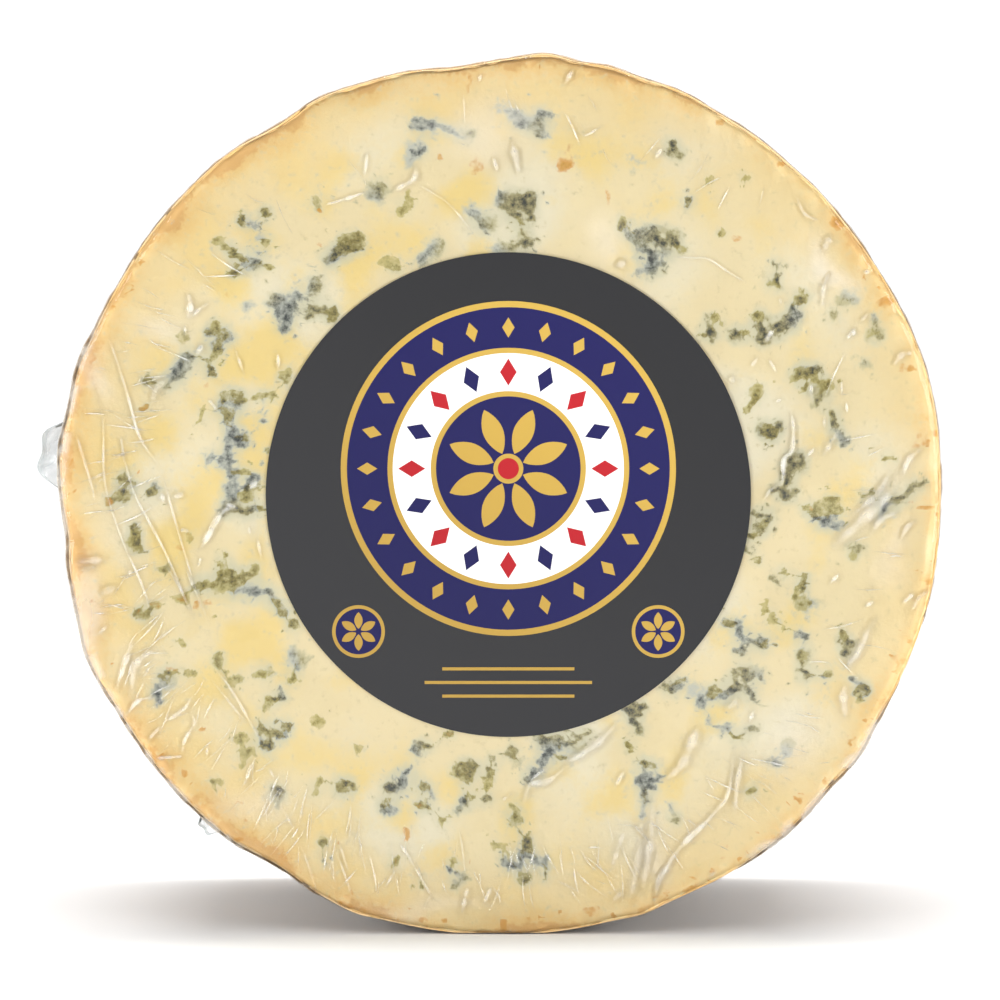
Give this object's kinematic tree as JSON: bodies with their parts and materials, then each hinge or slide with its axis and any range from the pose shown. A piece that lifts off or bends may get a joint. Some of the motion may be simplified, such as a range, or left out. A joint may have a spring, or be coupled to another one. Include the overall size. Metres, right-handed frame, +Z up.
{
  "type": "film-wrapped half wheel of blue-veined cheese",
  "caption": "Half of a drum-shaped blue-veined cheese, cut across, sealed in clear film with a round label on the cut face; it stands on its curved rind.",
  "frame": {"origin": "bottom centre of the object's box, on the surface that the wheel stands on", "axes": "+Z up; the wheel's axis lies along Y, with the cut face and its label towards -Y; +X to the right as seen from the cut face"},
  "size_m": [0.2054, 0.1284, 0.2002],
  "materials": {
    "cheese": null,
    "film": null,
    "label": null
  },
  "bodies": {
    "root": {"wheel_in_film": "cheese", "label": "label"}
  },
  "joints": []
}
